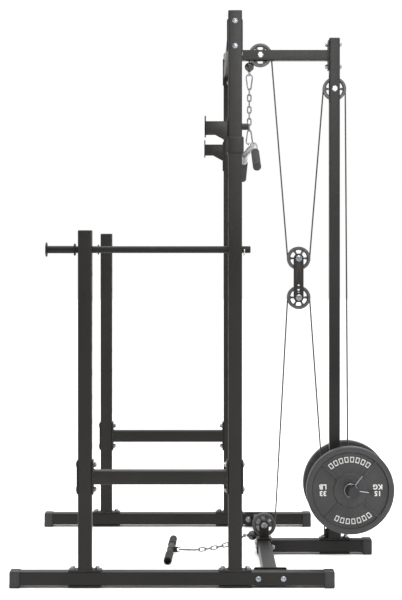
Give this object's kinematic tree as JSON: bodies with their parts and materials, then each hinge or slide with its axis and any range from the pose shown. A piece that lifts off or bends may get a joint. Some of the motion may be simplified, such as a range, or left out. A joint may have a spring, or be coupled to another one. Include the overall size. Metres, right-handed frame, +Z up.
{
  "type": "power cage",
  "caption": "Power cage on low base rails with J-hooks and safety rods, and a plate-loaded pulley tower behind it for lat pull-downs and low rows.",
  "frame": {"origin": "on the floor, under the centre of the whole rig", "axes": "+Z up, +X from the open lifting end towards the pulley tower, +Y towards the left-hand side frame of a lifter who faces the open end"},
  "size_m": [1.453, 1.2584, 2.083],
  "materials": {
    "frame_powder_coat": "satin black powder coat",
    "black_plastic": "moulded, fine grain",
    "pulley_nylon": "moulded nylon",
    "foam_grip": "closed-cell foam",
    "bumper_rubber": "matt",
    "cable_jacket": "nylon-coated steel cable",
    "zinc_plate": "bright zinc",
    "bright_chrome": "polished",
    "cast_iron_paint": "hammered grey enamel, painted marks"
  },
  "bodies": {
    "frame": {"right_base_rail": "frame_powder_coat", "right_front_foot_cap": "black_plastic", "right_rear_foot_cap": "black_plastic", "right_front_upright": "frame_powder_coat", "right_rear_upright": "frame_powder_coat", "right_side_rail": "frame_powder_coat", "left_base_rail": "frame_powder_coat", "left_front_foot_cap": "black_plastic", "left_rear_foot_cap": "black_plastic", "left_front_upright": "frame_powder_coat", "left_rear_upright": "frame_powder_coat", "left_side_rail": "frame_powder_coat", "rear_crossmember": "frame_powder_coat", "top_crossbeam": "frame_powder_coat", "centre_base_rail": "frame_powder_coat", "centre_foot_cap": "black_plastic", "tower_foot": "frame_powder_coat", "tower_post": "frame_powder_coat", "lat_beam": "frame_powder_coat", "carriage_bumper": "bumper_rubber", "low_pulley_bracket": "frame_powder_coat", "front_top_axle": "zinc_plate", "rear_top_axle": "zinc_plate", "low_axle": "zinc_plate", "top_cable": "cable_jacket", "low_cable": "cable_jacket", "lat_cable_run": "cable_jacket", "lift_cable_run": "cable_jacket", "row_cable_run": "cable_jacket"},
    "carriage": {"carriage": "frame_powder_coat"},
    "right_weight": {"right_weight_plate": "cast_iron_paint"},
    "left_weight": {"left_weight_plate": "cast_iron_paint"},
    "right_collar": {"right_spring_collar": "zinc_plate"},
    "left_collar": {"left_spring_collar": "zinc_plate"},
    "lat_line": {"lat_ball_stop": "black_plastic", "lat_chain": "zinc_plate"},
    "lat_handle": {"lat_bar": "bright_chrome", "lat_right_grip": "foam_grip", "lat_left_grip": "foam_grip"},
    "row_line": {"row_ball_stop": "black_plastic", "row_chain": "zinc_plate", "row_bar": "frame_powder_coat", "row_right_grip": "foam_grip", "row_left_grip": "foam_grip"},
    "floating_bracket": {"right_floating_strap": "frame_powder_coat", "left_floating_strap": "frame_powder_coat", "upper_floating_axle": "zinc_plate", "lower_floating_axle": "zinc_plate"},
    "front_top_wheel": {"front_top_pulley": "pulley_nylon"},
    "rear_top_wheel": {"rear_top_pulley": "pulley_nylon"},
    "upper_floating_wheel": {"upper_floating_pulley": "pulley_nylon"},
    "lower_floating_wheel": {"lower_floating_pulley": "pulley_nylon"},
    "low_wheel": {"low_pulley": "pulley_nylon"},
    "right_hook": {"right_j_hook": "frame_powder_coat"},
    "left_hook": {"left_j_hook": "frame_powder_coat"},
    "right_rod": {"right_safety_rod": "frame_powder_coat"},
    "left_rod": {"left_safety_rod": "frame_powder_coat"},
    "right_clip": {"right_hitch_pin": "zinc_plate"},
    "left_clip": {"left_hitch_pin": "zinc_plate"}
  },
  "joints": [
    {"name": "carriage_slide", "type": "slide", "parent": "frame", "child": "carriage", "axis": [0, 0, 1], "range_m": [0, 1.2], "deforming": ["lift_cable_run"]},
    {"name": "lat_line_drop", "type": "slide", "parent": "frame", "child": "lat_line", "axis": [0, 0, -1], "range_m": [0, 1.2], "deforming": ["lat_cable_run"]},
    {"name": "lat_bar_swivel", "type": "hinge", "parent": "lat_line", "child": "lat_handle", "pos_m": [0.1575, 0, 1.642], "axis": [0, 0, 1], "range_deg": [-45, 45]},
    {"name": "front_top_pulley_spin", "type": "hinge", "parent": "frame", "child": "front_top_wheel", "pos_m": [0.2015, 0, 2], "axis": [0, -1, 0], "range_deg": [0, 1562.66]},
    {"name": "rear_top_pulley_spin", "type": "hinge", "parent": "frame", "child": "rear_top_wheel", "pos_m": [0.499, 0, 1.865], "axis": [0, -1, 0], "range_deg": [0, 1562.66]},
    {"name": "upper_floating_pulley_spin", "type": "hinge", "parent": "floating_bracket", "child": "upper_floating_wheel", "pos_m": [0.3555, 0, 1.185], "axis": [0, 1, 0], "range_deg": [0, 1562.66]},
    {"name": "row_pull", "type": "slide", "parent": "frame", "child": "row_line", "axis": [-1, 0, 0], "range_m": [0, 0.8], "deforming": ["row_cable_run"]},
    {"name": "floating_bracket_drop", "type": "slide", "parent": "frame", "child": "floating_bracket", "axis": [0, 0, -1], "range_m": [0, 0.4], "deforming": ["top_cable", "low_cable"]},
    {"name": "lower_floating_pulley_spin", "type": "hinge", "parent": "floating_bracket", "child": "lower_floating_wheel", "pos_m": [0.3555, 0, 1.028], "axis": [0, -1, 0], "range_deg": [0, 520.92]},
    {"name": "low_pulley_spin", "type": "hinge", "parent": "frame", "child": "low_wheel", "pos_m": [0.2165, 0, 0.116], "axis": [0, 1, 0], "range_deg": [0, 1041.79]},
    {"name": "right_collar_slide", "type": "slide", "parent": "carriage", "child": "right_collar", "axis": [0, -0.9969, 0.0785], "range_m": [0, 0.11]},
    {"name": "left_collar_slide", "type": "slide", "parent": "carriage", "child": "left_collar", "axis": [0, 0.9969, 0.0785], "range_m": [0, 0.11]},
    {"name": "right_weight_slide", "type": "slide", "parent": "carriage", "child": "right_weight", "axis": [0, -0.9969, 0.0785], "range_m": [0, 0.11]},
    {"name": "left_weight_slide", "type": "slide", "parent": "carriage", "child": "left_weight", "axis": [0, 0.9969, 0.0785], "range_m": [0, 0.11]},
    {"name": "right_hook_pull", "type": "slide", "parent": "frame", "child": "right_hook", "axis": [-1, 0, 0], "range_m": [0, 0.08]},
    {"name": "left_hook_pull", "type": "slide", "parent": "frame", "child": "left_hook", "axis": [-1, 0, 0], "range_m": [0, 0.08]},
    {"name": "right_rod_float", "type": "slide", "parent": "frame", "child": "right_rod", "axis": [1, 0, 0], "range_m": [-0.006, 0.01]},
    {"name": "left_rod_float", "type": "slide", "parent": "frame", "child": "left_rod", "axis": [1, 0, 0], "range_m": [-0.008, 0.008]},
    {"name": "right_clip_pull", "type": "slide", "parent": "right_rod", "child": "right_clip", "axis": [0, -1, 0], "range_m": [0, 0.04]},
    {"name": "left_clip_pull", "type": "slide", "parent": "left_rod", "child": "left_clip", "axis": [0, 1, 0], "range_m": [0, 0.04]}
  ],
  "couplings": [
    {"joint": "lat_line_drop", "follows": "carriage_slide", "ratio": 1},
    {"joint": "front_top_pulley_spin", "follows": "carriage_slide", "rad_per_m": 22.727},
    {"joint": "rear_top_pulley_spin", "follows": "carriage_slide", "rad_per_m": 22.727},
    {"joint": "upper_floating_pulley_spin", "follows": "carriage_slide", "rad_per_m": 22.727},
    {"joint": "floating_bracket_drop", "follows": "row_pull", "ratio": 0.5},
    {"joint": "lower_floating_pulley_spin", "follows": "row_pull", "rad_per_m": 11.364},
    {"joint": "low_pulley_spin", "follows": "row_pull", "rad_per_m": 22.727},
    {"joint": "right_weight_slide", "follows": "right_collar_slide", "ratio": 1},
    {"joint": "left_weight_slide", "follows": "left_collar_slide", "ratio": 1}
  ]
}
